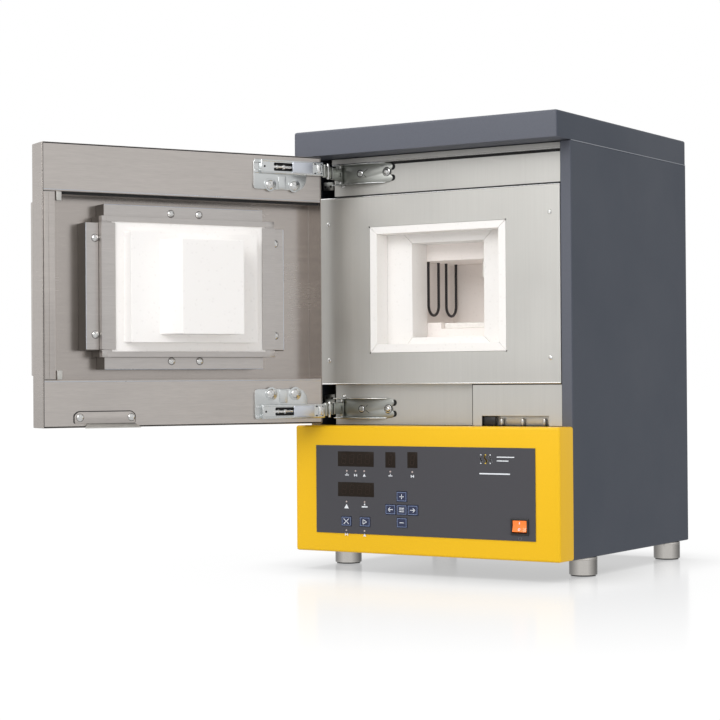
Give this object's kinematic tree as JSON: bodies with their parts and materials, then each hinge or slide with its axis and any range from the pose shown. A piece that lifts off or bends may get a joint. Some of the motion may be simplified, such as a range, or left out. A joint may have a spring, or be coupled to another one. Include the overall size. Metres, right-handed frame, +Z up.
{
  "type": "laboratory sintering furnace",
  "caption": "Bench-top front-loading high-temperature furnace with its door open, fibre-lined firing chamber, hairpin heating elements and a front control console.",
  "frame": {"origin": "middle of the bounding box at rest (door open) on the plane of the feet", "axes": "+Z up, +Y into the cabinet from its front, +X to the right as seen from the front"},
  "size_m": [0.5562, 0.7204, 0.563],
  "materials": {
    "slate_paint": "satin textured powder coat",
    "side_paint": "satin textured powder coat",
    "yellow_paint": "smooth satin powder coat",
    "stainless": "brushed, grain along the panel",
    "warm_stainless": "brushed, slightly warm",
    "zinc": "bright zinc plate",
    "fibre": "dry white ceramic fibre board",
    "fired_fibre": "ceramic fibre board, tinted by firing",
    "ceramic": "dense fired ceramic",
    "element": "dark oxidised heating rod",
    "foil": "satin printed control foil",
    "key_blue": "satin key cap under foil",
    "black_plastic": "moulded",
    "orange_plastic": "translucent moulded",
    "circuit_board": "coated laminate",
    "core_steel": "varnished laminations"
  },
  "bodies": {
    "cabinet": {"top_cover": "slate_paint", "left_side_panel": "side_paint", "right_side_panel": "side_paint", "back_panel": "side_paint", "console_shell": "yellow_paint", "base_plate": "stainless", "upper_front_rail": "stainless", "lower_front_rail": "stainless", "latch_plate": "stainless", "front_panel": "stainless", "insulation_casing": "stainless", "foot_front_left": "stainless", "foot_front_right": "stainless", "foot_back_left": "stainless", "foot_back_right": "stainless", "hinge_bracket_upper": "zinc", "hinge_bracket_lower": "zinc", "mouth_bar_top": "fibre", "mouth_bar_bottom": "fibre", "mouth_bar_left": "fibre", "mouth_bar_right": "fibre", "throat_frame": "fibre", "chamber_floor": "fibre", "chamber_roof": "fired_fibre", "chamber_wall_left": "fired_fibre", "chamber_wall_right": "fired_fibre", "chamber_wall_rear": "fired_fibre", "hearth_plate": "ceramic", "thermocouple": "ceramic", "heating_element_1": "element", "heating_element_2": "element", "heating_element_3": "element", "heating_element_4": "element", "control_plate": "foil", "switch_bezel": "black_plastic", "mains_inlet": "black_plastic", "controller_board": "circuit_board", "transformer": "core_steel"},
    "door": {"door_shell": "warm_stainless", "door_inner_frame": "warm_stainless", "door_handle": "warm_stainless", "insulation_tray": "warm_stainless", "plug_bracket_free_side": "warm_stainless", "plug_bracket_hinge_side": "warm_stainless", "plug_bracket_top": "warm_stainless", "plug_bracket_bottom": "warm_stainless", "latch_tongue": "zinc", "hinge_arm_upper": "zinc", "hinge_arm_lower": "zinc", "door_insulation": "fibre"},
    "hinge_links": {"hinge_link_upper": "zinc", "hinge_link_lower": "zinc"},
    "power_rocker": {"power_rocker": "orange_plastic"},
    "key_tools": {"key_tools": "key_blue"},
    "key_start": {"key_start": "key_blue"},
    "key_plus": {"key_plus": "key_blue"},
    "key_left": {"key_left": "key_blue"},
    "key_program": {"key_program": "key_blue"},
    "key_right": {"key_right": "key_blue"},
    "key_minus": {"key_minus": "key_blue"}
  },
  "joints": [
    {"name": "door_swing", "type": "hinge", "parent": "cabinet", "child": "door", "pos_m": [-0.08973, -0.02139, 0.3575], "axis": [0, 0, 1], "range_deg": [0, 117.5]},
    {"name": "hinge_link_fold", "type": "hinge", "parent": "cabinet", "child": "hinge_links", "pos_m": [-0.06093, 0.02371, 0.3575], "axis": [0, 0, 1], "range_deg": [0, 80]},
    {"name": "power_rocker_tilt", "type": "hinge", "parent": "cabinet", "child": "power_rocker", "pos_m": [0.22507, -0.01979, 0.065], "axis": [1, 0, 0], "range_deg": [0, 14]},
    {"name": "key_tools_press", "type": "slide", "parent": "cabinet", "child": "key_tools", "axis": [0, 1, 0], "range_m": [0, 0.0005], "stiffness_N_per_m": 1500},
    {"name": "key_start_press", "type": "slide", "parent": "cabinet", "child": "key_start", "axis": [0, 1, 0], "range_m": [0, 0.0005], "stiffness_N_per_m": 1500},
    {"name": "key_plus_press", "type": "slide", "parent": "cabinet", "child": "key_plus", "axis": [0, 1, 0], "range_m": [0, 0.0005], "stiffness_N_per_m": 1500},
    {"name": "key_left_press", "type": "slide", "parent": "cabinet", "child": "key_left", "axis": [0, 1, 0], "range_m": [0, 0.0005], "stiffness_N_per_m": 1500},
    {"name": "key_program_press", "type": "slide", "parent": "cabinet", "child": "key_program", "axis": [0, 1, 0], "range_m": [0, 0.0005], "stiffness_N_per_m": 1500},
    {"name": "key_right_press", "type": "slide", "parent": "cabinet", "child": "key_right", "axis": [0, 1, 0], "range_m": [0, 0.0005], "stiffness_N_per_m": 1500},
    {"name": "key_minus_press", "type": "slide", "parent": "cabinet", "child": "key_minus", "axis": [0, 1, 0], "range_m": [0, 0.0005], "stiffness_N_per_m": 1500}
  ],
  "couplings": [
    {"joint": "hinge_link_fold", "follows": "door_swing", "ratio": 0.68}
  ]
}
